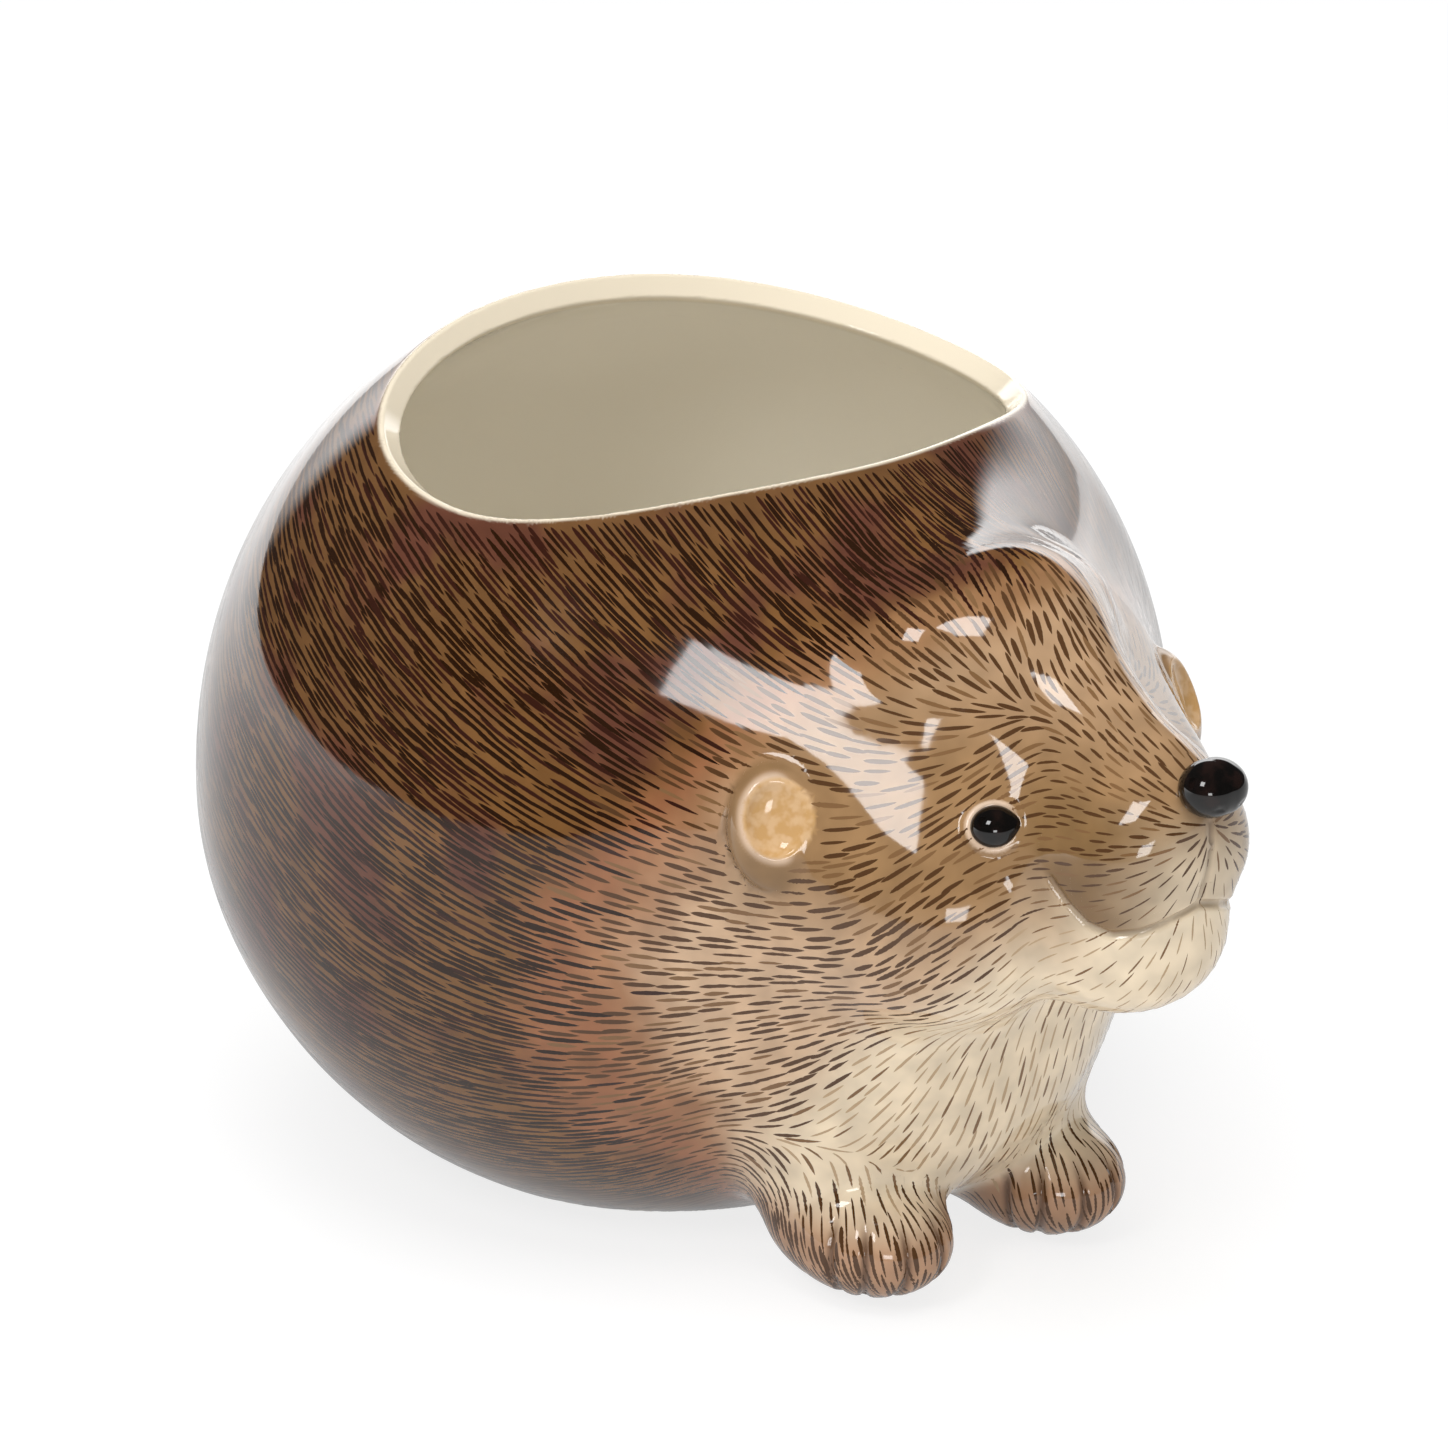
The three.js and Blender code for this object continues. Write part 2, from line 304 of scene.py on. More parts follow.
# Mesh: room round the solids, and how near to mouth line and rim it is finer
MARGIN = 9
FINE_MOUTH = 3
FINE_RIM = 4
PIECES = ("body_shell", "head", "right_ear", "left_ear", "right_foreleg", "left_foreleg")
NOSE_LOW, NOSE_HIGH = [np.array(corner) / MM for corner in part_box("nose")]
NOSE_CENTRE = (NOSE_LOW + NOSE_HIGH) / 2
NOSE_RADII = (NOSE_HIGH - NOSE_LOW) / 2

# Kinds of node that are used often, and their settings
MIX = "ShaderNodeMix"
RANGE = "ShaderNodeMapRange"
MATH = "ShaderNodeMath"
COLOUR_MIX = {"data_type": "RGBA"}
COLOUR_PRODUCT = {"data_type": "RGBA", "blend_type": "MULTIPLY"}
VALUE_MIX = {"data_type": "FLOAT"}
SOFT_STEP = {"interpolation_type": "SMOOTHSTEP"}
PRODUCT = {"operation": "MULTIPLY"}
LARGER = {"operation": "MAXIMUM"}
ALONG = {"operation": "DOT_PRODUCT"}


def flow(a, b, length):
    """Two masses that flow into each other over a length."""
    h = np.clip(0.5 + 0.5 * (b - a) / length, 0, 1)
    return b + (a - b) * h - length * h * (1 - h)


def cut(a, b, length):
    """What two masses share, with its edge rounded over a length."""
    return -flow(-a, -b, length)


def smooth(x, low, high):
    """0 at low, 1 at high, with a soft start and end."""
    t = np.clip((x - low) / (high - low), 0, 1)
    return t * t * (3 - 2 * t)


def unit(v):
    return v / np.maximum(np.linalg.norm(v, axis=-1, keepdims=True), 1e-9)


def mirrored(p):
    return np.concatenate([np.abs(p[..., :1]), p[..., 1:]], axis=-1)


def ellipsoid(p, centre, radii):
    """About the distance to an ellipsoid, negative inside."""
    q = (p - centre) / radii
    k0 = np.linalg.norm(q, axis=-1)
    k1 = np.linalg.norm(q / radii, axis=-1)
    return k0 * (k0 - 1) / np.maximum(k1, 1e-9)


def taper(p, start, start_radius, end, end_radius):
    """Distance to a rod with round ends of two radii."""
    axis = end - start
    h = np.clip((p - start) @ axis / (axis @ axis), 0, 1)
    middle = start + h[..., None] * axis
    return np.linalg.norm(p - middle, axis=-1) - (start_radius + (end_radius - start_radius) * h)


def ball(p):
    q = p - BALL_CENTRE
    depth = np.where(q[..., 1] < 0, BALL_FRONT, BALL_REAR)
    height = np.where(q[..., 2] < 0, BALL_BOTTOM, BALL_TOP)
    radii = np.stack([np.full(depth.shape, BALL_HALF_WIDTH), depth, height], axis=-1)
    full = 2 + (BALL_FULLNESS - 2) * smooth(q[..., 2:], -BALL_BOTTOM / 2, 0)
    q = np.abs(q) / radii
    k = np.maximum((q**full).sum(-1, keepdims=True) ** (1 / full), 1e-9)
    slope = np.linalg.norm((q / k) ** (full - 1) / radii, axis=-1)
    return (k[..., 0] - 1) / np.maximum(slope, 1e-9)


def face(p):
    q = mirrored(p)
    d = ellipsoid(q, SKULL, SKULL_RADII)
    d = flow(d, taper(q, SNOUT_ROOT, SNOUT_ROOT_RADIUS, SNOUT_TIP, SNOUT_TIP_RADIUS), FLOW_SNOUT)
    d = flow(d, taper(q, NAPE, NAPE_RADIUS, BROW, BROW_RADIUS), FLOW_BROW)
    d = flow(d, taper(q, BROW, BROW_RADIUS, BROW_SIDE, BROW_SIDE_RADIUS), FLOW_BROW_SIDE)
    d = flow(d, taper(q, BROW, BROW_RADIUS, BRIDGE_END, BRIDGE_END_RADIUS), FLOW_BRIDGE)
    d = flow(d, ellipsoid(q, CHEEK, CHEEK_RADII), FLOW_CHEEK)
    d = flow(d, ellipsoid(q, UPPER_LIP, UPPER_LIP_RADII), FLOW_LIP)
    return flow(d, ellipsoid(q, JAW, JAW_RADII), FLOW_JAW)


def skin(p):
    """Body and head together, as the solids have them."""
    joined = flow(ball(p), face(p), FLOW_NECK)
    return flow(joined, ellipsoid(p, CHEST, CHEST_RADII), FLOW_CHEST)


def gradient(field, p, step=0.15):
    slopes = []
    for offset in np.eye(3) * step:
        slopes.append((field(p + offset) - field(p - offset)) / (2 * step))
    return np.stack(slopes, axis=-1)


def settle(field, p, rounds=3, longest=1.0):
    """Moves points onto the surface of a field."""
    for _ in range(rounds):
        slope = gradient(field, p)
        move = field(p) / np.maximum((slope * slope).sum(-1), 0.05)
        p = p - np.clip(move, -longest, longest)[..., None] * slope
    return p


def reach(field, start, directions, furthest=260.0):
    """How far each direction goes from an inner point to the surface of a field."""
    inner = np.zeros(len(directions))
    outer = np.full(len(directions), furthest)
    for _ in range(40):
        middle = (inner + outer) / 2
        within = field(start + directions * middle[:, None]) < 0
        inner = np.where(within, middle, inner)
        outer = np.where(within, outer, middle)
    return inner


def seat(start, direction):
    """Place on the skin of the left side, with its outward normal."""
    ray = unit(direction)[None]
    point = start + ray * reach(skin, start, ray)[:, None]
    return point[0], unit(gradient(skin, point))[0]


def basis(axis, toward):
    """Columns: across, along and out, where out is the axis and along leans to a direction."""
    out = unit(np.asarray(axis, float))
    along = unit(toward - (toward @ out) * out)
    return np.stack([np.cross(along, out), along, out], axis=-1)


EYE_SEAT, EYE_NORMAL = seat(EYE_FROM, EYE_DIRECTION)
EYE_CENTRE = EYE_SEAT - EYE_SINK * EYE_NORMAL
EYE_BASIS = basis(EYE_NORMAL, BRIDGE_END - EYE_SEAT)
EAR_SEAT, EAR_NORMAL = seat(EAR_FROM, EAR_DIRECTION)
EAR_CENTRE = EAR_SEAT + EAR_LIFT * EAR_NORMAL
EAR_BASIS = basis(EAR_FACING, np.array([0.0, 0.0, 1.0]))


def ear_scoop(q):
    return ellipsoid((q - EAR_CENTRE) @ EAR_BASIS, EAR_SCOOP_PLACE, EAR_SCOOP_RADII)


def ear(q):
    disc = ellipsoid((q - EAR_CENTRE) @ EAR_BASIS, np.zeros(3), EAR_RADII)
    return cut(disc, -ear_scoop(q), WALL_ROUND)


def lid(q):
    """Ring of clay round the eye."""
    local = (q - EYE_SEAT) @ EYE_BASIS
    width = bpy.context.scene.vase_sizes.lid_width / MM / 2
    ring = np.hypot(local[..., 0] / LID_NARROWING, local[..., 1]) - LID_RADIUS
    return np.hypot(ring, local[..., 2]) - width


def toe_grooves(q):
    """1 in the grooves that part the toes, 0 elsewhere."""
    from_middle = q[..., :2] - PAW[:2]
    deepest = np.zeros(q.shape[:-1])
    for angle in TOE_GROOVES:
        out = np.array([math.sin(angle), -math.cos(angle)])
        across = from_middle @ np.array([-out[1], out[0]])
        groove = np.exp(-((across / TOE_GROOVE_WIDTH) ** 2)) * smooth(from_middle @ out, *TOE_GROOVE_START)
        deepest = np.maximum(deepest, groove)
    return deepest * smooth(q[..., 2], TOE_TOP, TOE_TOP - TOE_FADE)


def foreleg(q):
    leg = taper(q, LEG_TOP, LEG_TOP_RADIUS, LEG_ANKLE, LEG_ANKLE_RADIUS)
    return flow(leg, ellipsoid(q, PAW, PAW_RADII), FLOW_PAW) + TOE_GROOVE_DEPTH * toe_grooves(q)


def path(q, points):
    """Distance to a line through points."""
    nearest = None
    for a, b in zip(points[:-1], points[1:]):
        d = taper(q, np.asarray(a, float), 0, np.asarray(b, float), 0)
        nearest = d if nearest is None else np.minimum(nearest, d)
    return nearest


@functools.lru_cache(maxsize=None)
def drawn_on_skin(name):
    """A line of the face, laid onto the skin."""
    points = np.array({"smile": SMILE, "furrow": FURROW}[name], float)
    return settle(skin, points, rounds=6, longest=4.0)


def outside(p):
    """All that shows from outside, solid."""
    sizes = bpy.context.scene.vase_sizes
    q = mirrored(p)
    d = flow(skin(p), foreleg(q), sizes.leg_fillet / MM)
    d = flow(d, ear(q), FLOW_EAR)
    d = flow(d, lid(q), FLOW_LID)
    groove = sizes.mouth_groove / MM / 2
    d = cut(d, groove - path(q, drawn_on_skin("smile")), FLOW_GROOVE)
    d = cut(d, 0.5 * groove - path(q, drawn_on_skin("furrow")), FLOW_GROOVE)
    return cut(d, -p[..., 2], FOOT_ROUND)


def cavity(p):
    d = flow(ball(p) + WALL, face(p) + HEAD_WALL, FLOW_HOLLOW)
    return cut(d, FLOOR - p[..., 2], FLOOR_ROUND)


def above_rim(p):
    """How far a point lies above the saddle-shaped edge of the mouth."""
    x, y, z = p[..., 0], p[..., 1], p[..., 2]
    front = RIM_FRONT_LIFT * smooth(-y, *RIM_FRONT)
    return z - RIM_HEIGHT - front - RIM_RISE * y - RIM_DIP * (y * y - x * x) / RIM_RADIUS**2


def above_bevel(p, outer):
    """How far a point lies above the lip, which slopes down from the edge to the inside."""
    return (above_rim(p) - LIP_SLOPE * outer) / math.hypot(1, LIP_SLOPE)


def vase(p):
    outer = outside(p)
    shell = cut(outer, -cavity(p), WALL_ROUND)
    lip_round = bpy.context.scene.vase_sizes.lip_round / MM
    return cut(shell, above_bevel(p, outer), lip_round)


def ahead_of_neck(p):
    """How far a point lies ahead of the joint between body and head."""
    return (p - NECK) @ np.array([0, -math.cos(NECK_LEAN), math.sin(NECK_LEAN)])


def surface_net(field, low, high, pitch):
    """Quads on the surface of a field that is alike on both sides of X = 0."""
    half = np.arange(pitch / 2, high[0], pitch)
    across = np.concatenate([-half[::-1], half])
    along = np.arange(low[1], high[1], pitch)
    up = np.arange(low[2], high[2], pitch)
    grid = np.stack(np.meshgrid(half, along, up, indexing="ij"), axis=-1)
    right = field(grid.reshape(-1, 3)).reshape(grid.shape[:3])
    values = np.concatenate([right[::-1], right])
    inside = values < 0
    shape = np.array(values.shape) - 1
    corners = [(i, j, k) for i in (0, 1) for j in (0, 1) for k in (0, 1)]
    count = np.zeros(shape, np.int8)
    for i, j, k in corners:
        count += inside[i:i + shape[0], j:j + shape[1], k:k + shape[2]]
    crossed = (count > 0) & (count < 8)
    cells = np.argwhere(crossed)
    at = {c: values[tuple((cells + c).T)] for c in corners}
    total = np.zeros((len(cells), 3))
    hits = np.zeros(len(cells))
    for a in corners:
        for axis in range(3):
            if a[axis]:
                continue
            b = tuple(a[k] + (k == axis) for k in range(3))
            crosses = (at[a] < 0) != (at[b] < 0)
            t = at[a] / np.where(crosses, at[a] - at[b], 1)
            point = np.array(a, float) + t[:, None] * np.eye(3)[axis]
            total += crosses[:, None] * point
            hits += crosses
    points = np.array([across[0], along[0], up[0]]) + pitch * (cells + total / hits[:, None])
    number = np.full(shape, -1)
    number[crossed] = np.arange(len(cells))
    quads = []
    for axis in range(3):
        one, two = np.eye(3, dtype=int)[(axis + 1) % 3], np.eye(3, dtype=int)[(axis + 2) % 3]
        low_end = np.delete(inside, -1, axis)
        high_end = np.delete(inside, 0, axis)
        edges = np.argwhere(low_end != high_end)
        ring = [edges - one - two, edges - two, edges, edges - one]
        quad = np.stack([number[tuple(cell.T)] for cell in ring], axis=-1)
        outward = low_end[tuple(edges.T)]
        quads.append(np.where(outward[:, None], quad, quad[:, ::-1]))
    return points, np.concatenate(quads)


def refined(points, quads):
    """Each quad becomes four."""
    edges = np.sort(np.stack([quads, np.roll(quads, -1, axis=1)], axis=-1).reshape(-1, 2), axis=1)
    unique, inverse = np.unique(edges, axis=0, return_inverse=True)
    side = len(points) + inverse.reshape(-1, 4)
    centre = len(points) + len(unique) + np.arange(len(quads))
    made = np.concatenate([points, points[unique].mean(1), points[quads].mean(1)])
    corners = [np.stack([quads[:, k], side[:, k], centre, side[:, k - 1]], axis=-1) for k in range(4)]
    return made, np.concatenate(corners)


@functools.lru_cache(maxsize=1)
def moulded():
    """Points of the whole skin, its quads, and the piece that each quad belongs to."""
    pitch = bpy.context.scene.vase_sizes.mesh_step / MM
    low = np.array(CAD_LOW) / MM - MARGIN
    high = np.array(CAD_HIGH) / MM + MARGIN
    points, quads = surface_net(vase, low, high, pitch)
    points = settle(vase, points)
    middle = points[quads].mean(1)
    q = mirrored(middle)
    outer = cavity(middle) + outside(middle) > 0
    body = skin(middle)
    side = (middle[:, 0] > 0).astype(int)
    piece = np.where(ahead_of_neck(middle) > 0, 1, 0)
    piece = np.where(outer & (ear(q) < body), 2 + side, piece)
    piece = np.where(outer & (foreleg(q) < body), 4 + side, piece)
    return points, quads, piece


def coat_edge(p):
    """How far a point lies behind the front edge of the dark coat."""
    y, z = p[..., 1], p[..., 2]
    lean = COAT_EDGE_LEAN * np.maximum(z - COAT_EDGE_FOOT, 0)
    return y + COAT_EDGE_AHEAD + lean + COAT_EDGE_SWEEP * np.maximum(z - COAT_EDGE_BEND, 0) ** 2


def chest_line(q):
    """Distance to the line from chin to breast, round which the vase is cream."""
    return taper(q, CHIN, 0, BREAST, 0)


def above_mouth(q):
    """How far a point of the muzzle lies above the mouth line."""
    line = np.array([MUZZLE_REAR, *SMILE])
    return q[..., 2] - np.interp(-q[..., 1], -line[:, 1], line[:, 2])


def painted(p):
    """What the painter's brush and the mould leave at each point, by name."""
    q = mirrored(p)
    x, y, z = q[:, 0], q[:, 1], q[:, 2]
    smile = path(q, drawn_on_skin("smile"))
    furrow = path(q, drawn_on_skin("furrow"))
    # Painted shade: dark colour laid into the mouth line, the furrow under the nose and the grooves
    # between the toes
    crease_shade = np.maximum(0.7 * smooth(smile, *CREASE_SHADE_NEAR), 0.5 * smooth(furrow, *CREASE_SHADE_NEAR))
    crease_shade = np.maximum(crease_shade, 0.8 * toe_grooves(q) * smooth(foreleg(q), 2.5, 0.5))
    # Painted shade on the outer flank of each ear, where it rises from the head
    ear_shade = smooth(ear(q), 1.8, 0.4) * smooth(ear_scoop(q), 0.7, 2.2)
    collar = smooth(ear(q), 0.5, 0.1) * smooth(ear_scoop(q), 1.8, 0.6)
    soft = 0.6 + 5 * smooth(-y, *MOUTH_CORNER)
    muzzle = smooth(-y, *MUZZLE_AHEAD) * smooth(above_mouth(q) / soft, -1, 1) * smooth(z, *MUZZLE_BELOW)
    muzzle = muzzle * (0.4 + 0.6 * smooth(x, *MUZZLE_ASIDE)) * (0.65 + 0.35 * smooth(-y, *MUZZLE_FRONT))
    cheek = smooth(y, *CHEEK_BEHIND) * smooth(z, *CHEEK_ABOVE)
    outer = outside(p)
    lip = smooth(above_bevel(p, outer), -0.5, -0.15)
    return {
        "coat_edge": coat_edge(p),
        "above_rim": above_rim(p),
        "slip": np.maximum(lip, smooth(cavity(p) + outer, 0.6, 0)),
        "olive": smooth(-y, *OLIVE_AHEAD) * smooth(z, *OLIVE_ABOVE) * (1 - 0.4 * smooth(z, *OLIVE_THINS)),
        "cream": smooth(chest_line(q), *CREAM_ROUND) * (1 - 0.75 * cheek),
        "paw": smooth(z, *PAW_BELOW) * smooth(foreleg(q), 4, 0.5),
        "buff": smooth(ear_scoop(q), 0.7, 0.2),
        "lid": np.maximum(smooth(np.abs(lid(q)), 0.35, 0.1), 0.8 * collar),
        # Brown of the muzzle, and painted shade round the ears
        "brown": np.maximum(0.7 * ear_shade, muzzle),
        "crease_shade": crease_shade,
    }


def linear(hex_colour):
    """Linear colour of an sRGB hex value."""
    made = []
    for k in (1, 3, 5):
        c = int(hex_colour[k:k + 2], 16) / 255
        made.append(c / 12.92 if c <= 0.04045 else ((c + 0.055) / 1.055) ** 2.4)
    return (*made, 1.0)


def node(tree, kind, settings=None, **links):
    """Adds a node with its settings. A link, named by its input or number, is a node, socket or value."""
    made = tree.nodes.new(kind)
    for name, value in (settings or {}).items():
        setattr(made, name, value)
    for name, value in links.items():
        key = int(name[1:]) if name[1:].isdigit() else name.replace("_", " ")
        if isinstance(value, bpy.types.Node):
            value = next(socket for socket in value.outputs if socket.enabled)
        if isinstance(value, bpy.types.NodeSocket):
            tree.links.new(value, made.inputs[key])
        else:
            made.inputs[key].default_value = value
    return made


def new_material(name):
    material = bpy.data.materials.new(name)
    material.use_nodes = True
    material.node_tree.nodes.clear()
    return material, material.node_tree


@functools.lru_cache(maxsize=None)
def painted_earthenware():
    """White earthenware, washed with brown underglaze and dipped in clear glaze.

    The washes pool in soft patches of golden brown and plum, fade through a reddish edge to beige and
    cream, and the clear glaze over them gives one sharp reflection with a faint ripple in it.
    """
    colours = bpy.context.scene.vase_colours
    material, tree = new_material("Clear-glazed earthenware, underglaze washes")
    place = node(tree, "ShaderNodeTexCoord").outputs["Object"]
    names = ("coat_edge", "above_rim", "slip", "olive", "cream", "paw", "buff", "lid", "brown", "crease_shade")
    mask = {}
    for name in names:
        mask[name] = node(tree, "ShaderNodeAttribute", {"attribute_name": name}).outputs["Fac"]
    patch = {}
    for name, (millimetres, detail) in PATCHES.items():
        scale = 1 / (millimetres * MM)
        patch[name] = node(tree, "ShaderNodeTexNoise", Vector=place, Scale=scale, Detail=detail)

    sway = node(tree, RANGE, i0=patch["wide"], i1=0.0, i2=1.0, i3=-COAT_SWAY, i4=COAT_SWAY)
    edge = node(tree, MATH, {"operation": "ADD"}, i0=mask["coat_edge"], i1=sway)
    span = node(tree, RANGE, i0=edge, i1=-COAT_SPAN, i2=COAT_SPAN)
    wash = node(tree, "ShaderNodeValToRGB", Fac=span)
    stops = (
        (0.37, colours.flank),
        (0.43, colours.blush),
        (0.47, colours.ruddy),
        (0.52, colours.golden),
        (0.80, colours.umber),
    )
    for _ in stops[2:]:
        wash.color_ramp.elements.new(0.5)
    for stop, (position, colour) in zip(wash.color_ramp.elements, stops):
        stop.position = position
        stop.color = colour

    coat = node(tree, RANGE, SOFT_STEP, i0=edge, i1=-4.0, i2=8.0)
    face = node(tree, MATH, {"operation": "SUBTRACT"}, i0=1.0, i1=coat)
    tan = node(tree, MATH, PRODUCT, i0=mask["olive"], i1=face)
    pooled = node(tree, RANGE, SOFT_STEP, i0=patch["plum"], i1=0.46, i2=0.62)
    plum = node(tree, MATH, PRODUCT, i0=pooled, i1=coat)
    washes = (
        (tan, colours.face),
        (plum, colours.plum),
        (mask["cream"], colours.cream),
        # The brown wash is the muzzle's own paint and painted shade round the ears
        (mask["brown"], colours.muzzle),
        (mask["paw"], colours.paw),
        (mask["lid"], colours.lid),
    )
    for share, colour in washes:
        wash = node(tree, MIX, COLOUR_MIX, i0=share, i6=wash, i7=colour)
    mottle = node(tree, RANGE, i0=patch["small"], i1=0.3, i2=0.7, i3=0.86, i4=1.12)
    wash = node(tree, MIX, COLOUR_PRODUCT, i0=1.0, i6=wash, i7=mottle)

    thin = node(tree, RANGE, SOFT_STEP, i0=patch["fine"], i1=0.36, i2=0.62)
    buff = node(tree, MIX, COLOUR_MIX, i0=thin, i6=colours.buff, i7=colours.buff_pale)
    # Painted light: the band just inside the lip has a tone of its own, set for how light falls there
    collar = node(tree, RANGE, SOFT_STEP, i0=mask["above_rim"], i1=-COLLAR, i2=-0.7 * COLLAR)
    slip = node(tree, MIX, COLOUR_MIX, i0=collar, i6=colours.inside, i7=colours.inside_lit_band)
    height = node(tree, "ShaderNodeSeparateXYZ", i0=place).outputs[2]
    bare = node(tree, RANGE, SOFT_STEP, i0=height, i1=0.6 * MM, i2=0.25 * MM)
    layers = (
        # Painted shade in the creases
        (mask["crease_shade"], colours.line),
        (mask["buff"], buff),
        (mask["slip"], slip),
        (bare, colours.clay),
    )
    for share, colour in layers:
        wash = node(tree, MIX, COLOUR_MIX, i0=share, i6=wash, i7=colour)

    glazed = node(tree, RANGE, i0=patch["small"], i1=0.3, i2=0.7, i3=0.04, i4=0.07)
    gloss = node(tree, MIX, VALUE_MIX, i0=bare, i2=glazed, i3=0.8)
    ripple = node(tree, "ShaderNodeBump", Strength=0.25, Distance=0.04 * MM, Height=patch["ripple"])
    look = {"Base_Color": wash, "Roughness": gloss, "Normal": ripple}
    shader = node(tree, "ShaderNodeBsdfPrincipled", IOR=GLAZE_IOR, **look)
    node(tree, "ShaderNodeOutputMaterial", Surface=shader)
    return material


@functools.lru_cache(maxsize=None)
def brush_line(tone):
    """Underglaze colour laid on with a fine brush, a low ridge under the same clear glaze."""
    material, tree = new_material(f"Brushed underglaze, {tone}, clear-glazed")
    colour = getattr(bpy.context.scene.vase_colours, f"brush_{tone}")
    shader = node(tree, "ShaderNodeBsdfPrincipled", IOR=GLAZE_IOR, Base_Color=colour, Roughness=0.055)
    node(tree, "ShaderNodeOutputMaterial", Surface=shader)
    return material


@functools.lru_cache(maxsize=None)
def black_glaze():
    """Gloss black glaze, fired thick: near black with a brown cast where it thins, mirror smooth."""
    colours = bpy.context.scene.vase_colours
    material, tree = new_material("Gloss black glaze, fired")
    place = node(tree, "ShaderNodeTexCoord").outputs["Object"]
    pooled = node(tree, "ShaderNodeTexNoise", Vector=place, Scale=1 / (BLACK_PATCH * MM), Detail=2.0)
    thin = node(tree, RANGE, SOFT_STEP, i0=pooled, i1=0.45, i2=0.7)
    colour = node(tree, MIX, COLOUR_MIX, i0=thin, i6=colours.black, i7=colours.black_thin)
    shader = node(tree, "ShaderNodeBsdfPrincipled", IOR=1.55, Base_Color=colour, Roughness=0.04)
    node(tree, "ShaderNodeOutputMaterial", Surface=shader)
    return material


def make_piece(name, points, faces, normals, material, replaced, masks=None):
    """A mesh in the frame, from points in millimetres, riding on the vase's one body."""
    corners = np.concatenate([np.ravel(group) for group in faces])
    used, renumbered = np.unique(corners, return_inverse=True)
    polygons = []
    start = 0
    for group in faces:
        polygons += renumbered[start:start + group.size].reshape(group.shape).tolist()
        start += group.size
    mesh = bpy.data.meshes.new(name)
    mesh.from_pydata((points[used] * MM).tolist(), [], polygons)
    mesh.polygons.foreach_set("use_smooth", np.ones(len(mesh.polygons), bool))
    for key, values in (masks or {}).items():
        mesh.attributes.new(key, "FLOAT", "POINT").data.foreach_set("value", values[used])
    mesh.materials.append(material)
    mesh.normals_split_custom_set_from_vertices(normals[used].tolist())
    made = bpy.data.objects.new(name, mesh)
    bpy.context.scene.collection.objects.link(made)
    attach(made, "root")
    if replaced:
        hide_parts(replaced)


def halvings(middle, base):
    """How often the quads at these places are halved, more where the form is small."""
    q = mirrored(middle)
    small = np.linalg.norm(q - EYE_SEAT, axis=1) < 2 * LID_RADIUS
    small |= path(q, drawn_on_skin("smile")) < FINE_MOUTH
    small |= np.abs(above_rim(middle)) < FINE_RIM
    small |= (ear(q) < 1) & (middle[:, 2] > FLOOR)
    small |= (foreleg(q) < 1) & (middle[:, 2] < TOE_TOP) & (middle[:, 1] < PAW[1])
    medium = np.abs(above_rim(middle)) < 2 * COLLAR
    return np.where(small, 2, np.where(medium, 1, base))


def skin_piece(node_name, base):
    """The part of the skin that stands for one node."""
    points, quads, piece = moulded()
    own = quads[piece == PIECES.index(node_name)]
    if not len(own):
        raise RuntimeError(f"no skin was found for {node_name}")
    rounds = halvings(points[own].mean(1), base)
    all_points = np.zeros((0, 3))
    all_quads = []
    for count in np.unique(rounds):
        used, renumbered = np.unique(own[rounds == count], return_inverse=True)
        some = points[used]
        faces = renumbered.reshape(-1, 4)
        for _ in range(count):
            some, faces = refined(some, faces)
            some = settle(vase, some, 2)
        all_quads.append(faces + len(all_points))
        all_points = np.concatenate([all_points, some])
    normals = unit(gradient(vase, all_points))
    masks = painted(all_points)
    glaze = painted_earthenware()
    make_piece(f"{node_name}_skin", all_points, all_quads, normals, glaze, node_name, masks)


def cast_form(field, centre, turned, around=40, along=22):
    """Closed surface of a small field, cast outward from its middle, in rings round its third axis."""
    turn = np.linspace(0, 2 * math.pi, around, endpoint=False)
    polar = np.linspace(0, math.pi, along + 1)[1:-1]
    polar, turn = [grid.ravel() for grid in np.meshgrid(polar, turn, indexing="ij")]
    wide = np.sin(polar)
    local = np.stack([wide * np.cos(turn), wide * np.sin(turn), np.cos(polar)], axis=-1)
    local = np.concatenate([local, [[0, 0, 1], [0, 0, -1]]])
    points = local * reach(field, np.zeros(3), local, 40.0)[:, None]
    normals = unit(gradient(field, points, 0.05))
    first = np.arange((along - 2) * around)
    step = np.where((first + 1) % around, first + 1, first + 1 - around)
    quads = np.stack([first, first + around, step + around, step], axis=-1)
    ring = np.arange(around)
    north = np.stack([np.full(around, len(local) - 2), ring, np.roll(ring, -1)], axis=-1)
    ring = ring + (along - 2) * around
    south = np.stack([np.full(around, len(local) - 1), np.roll(ring, -1), ring], axis=-1)
    return centre + points @ turned.T, normals @ turned.T, [quads, north, south]


def fur_direction(p, normals):
    """Lie of the painted fur along the skin."""
    side = np.clip(p[:, :1] / PARTING, -1, 1) * np.array([1, 0, 0]) + np.array([0, 1, 1])
    goal = BROW_GOAL + (NOSE_GOAL - BROW_GOAL) * smooth(-p[:, 1], *NOSE_LIE_AHEAD)[:, None]
    way = unit(unit(goal - p) + smooth(coat_edge(p), *COAT_LIE_BEHIND)[:, None] * COAT_LIE * side)
    rear = smooth(p[:, 1], *REAR_LIE_BEHIND)[:, None]
    way = way * (1 - rear) + REAR_LIE * side * rear
    leg = (smooth(foreleg(mirrored(p)), 5, 0.5) * smooth(p[:, 2], *LEG_LIE_BELOW))[:, None]
    way = way * (1 - leg) + LEG_LIE * leg
    return unit(way - (way * normals).sum(-1, keepdims=True) * normals)


